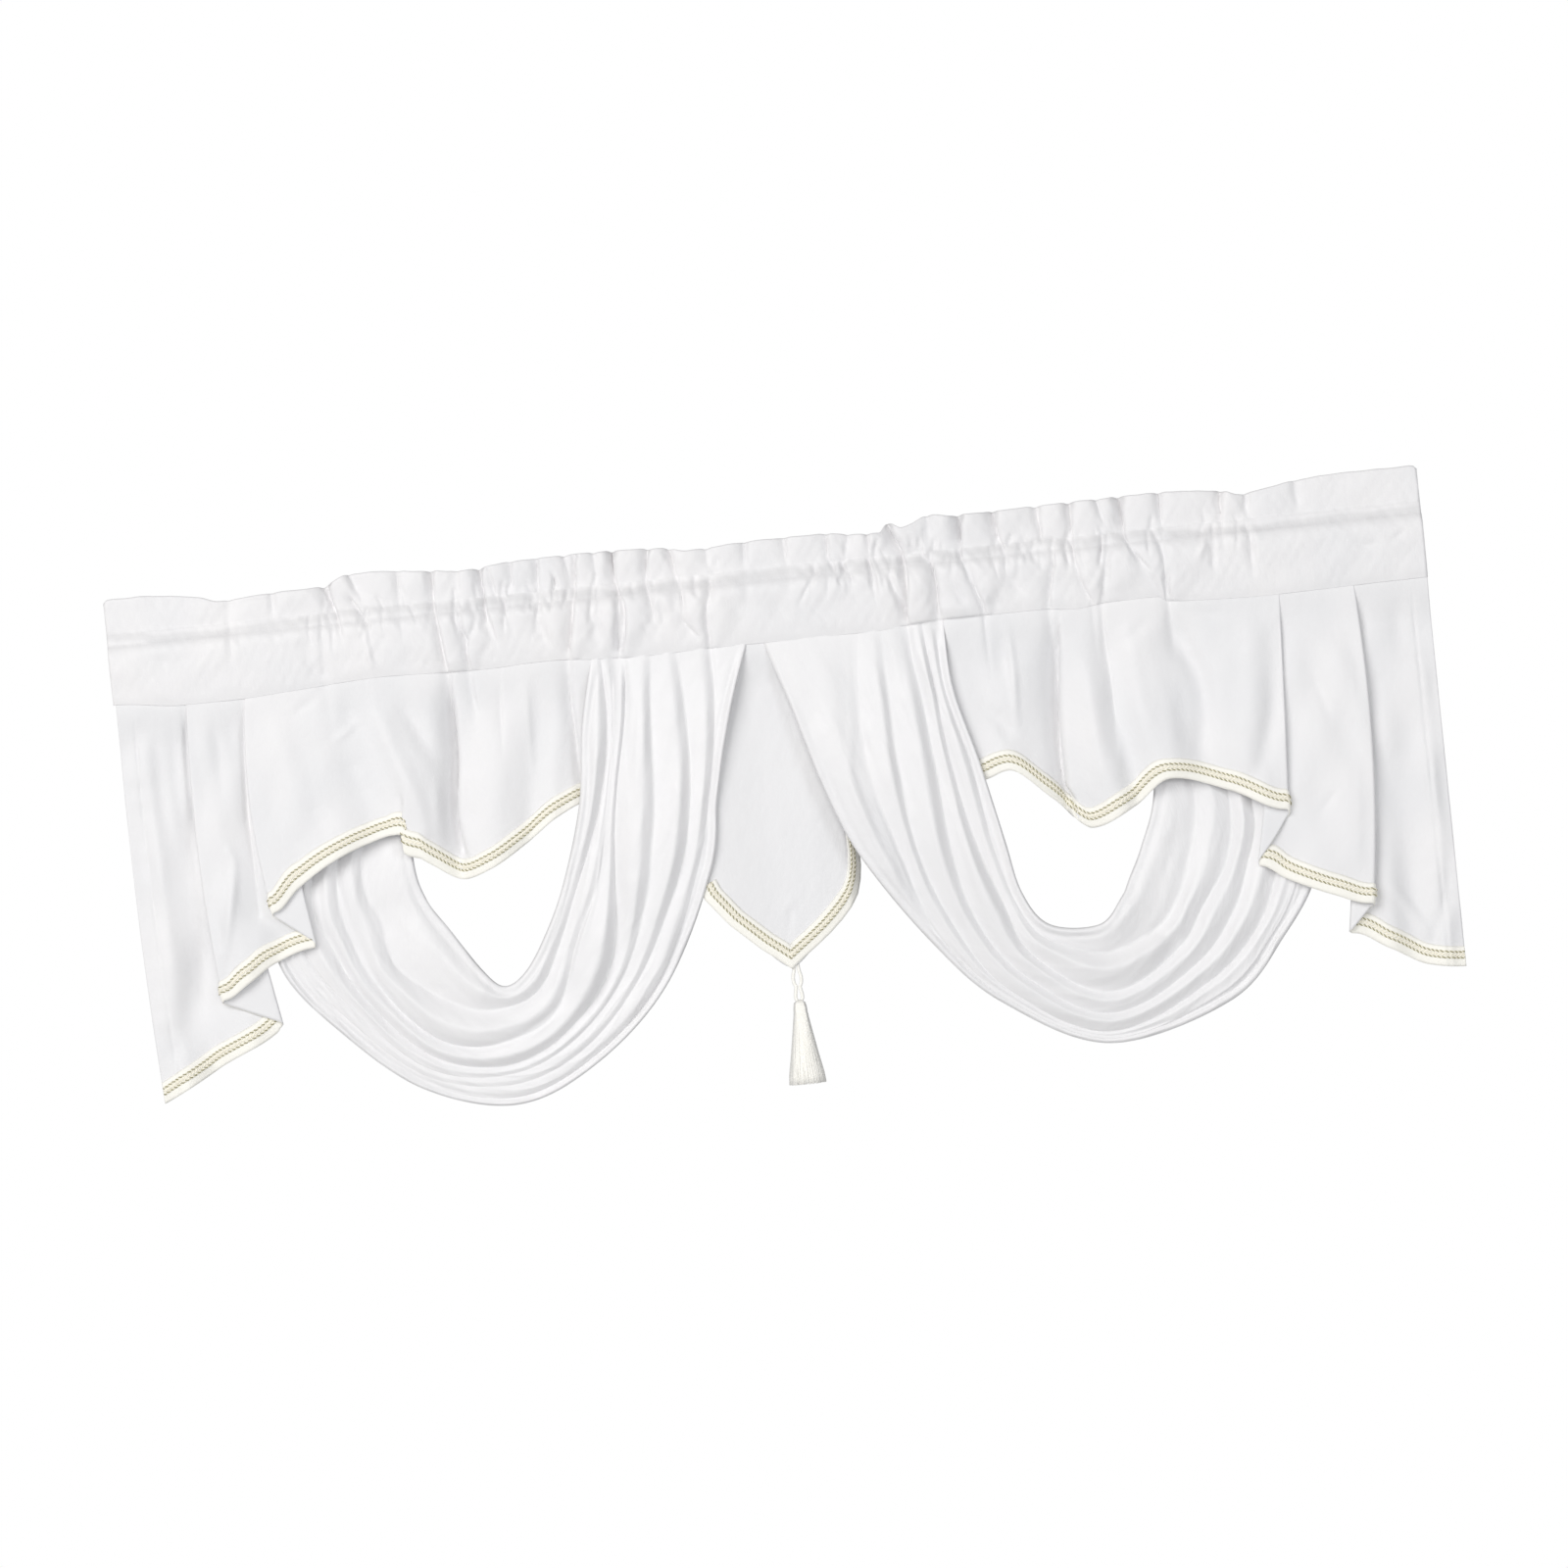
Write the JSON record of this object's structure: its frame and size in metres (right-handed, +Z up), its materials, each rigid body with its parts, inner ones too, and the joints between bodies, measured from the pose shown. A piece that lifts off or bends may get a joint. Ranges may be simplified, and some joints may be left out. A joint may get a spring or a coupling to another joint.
{
  "type": "rod pocket valance",
  "caption": "Gathered rod pocket valance with pleated swags, cascade side panels, a centre pennant and tassel, and braid along its feet.",
  "frame": {"origin": "the rod's line in the pocket, at mid-length, where the valance hangs", "axes": "+X along the rod, to the right as seen from the room; -Y faces the room, +Y the window; +Z is up"},
  "size_m": [1.347, 0.047, 0.5648],
  "materials": {
    "satin": "white polyester satin with a soft sheen",
    "braid": "cream and gold gimp braid",
    "tassel_cord": "cream viscose cord and strands"
  },
  "bodies": {
    "root": {"heading_band": "satin", "side_panel_left": "satin", "side_panel_right": "satin", "swag_left": "satin", "swag_right": "satin", "centre_pennant": "satin", "trim_left": "braid", "trim_right": "braid", "trim_pennant": "braid", "tassel_loop": "tassel_cord", "tassel": "tassel_cord"}
  },
  "joints": []
}
